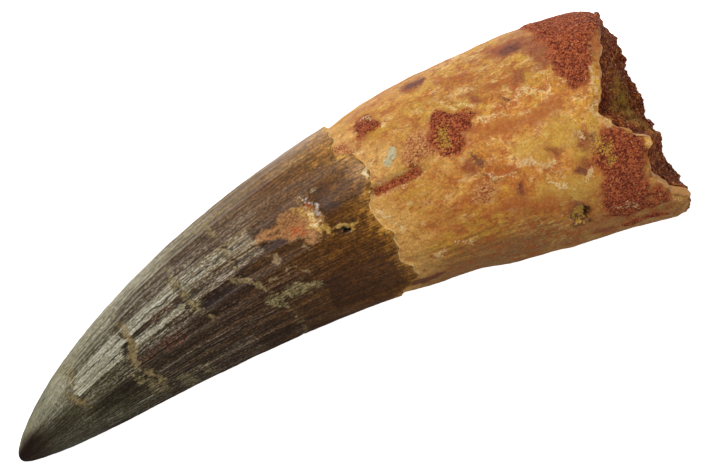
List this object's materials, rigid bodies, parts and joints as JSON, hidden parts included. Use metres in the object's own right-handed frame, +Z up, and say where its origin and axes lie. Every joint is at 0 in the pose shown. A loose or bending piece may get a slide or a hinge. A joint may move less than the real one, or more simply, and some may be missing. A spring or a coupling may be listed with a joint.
{
  "type": "fossil spinosaurus tooth",
  "caption": "Curved conical fossil tooth with a fluted dark enamel crown, a smooth tan root and red sandstone set in its broken end.",
  "frame": {"origin": "centre of the tooth's overall box, on the surface that the tooth lies on", "axes": "+X from the crown's tip to the broken root, +Y towards the outer, convex bend, +Z up from the surface"},
  "size_m": [0.1319, 0.0427, 0.0324],
  "materials": {
    "fossil_tooth": "mineralised enamel, glossy and dark brown, on a satin amber and tan root",
    "red_sandstone": "matt, coarse grained, dark red-brown"
  },
  "bodies": {
    "root": {"tooth": "fossil_tooth", "sandstone_fill": "red_sandstone"}
  },
  "joints": []
}
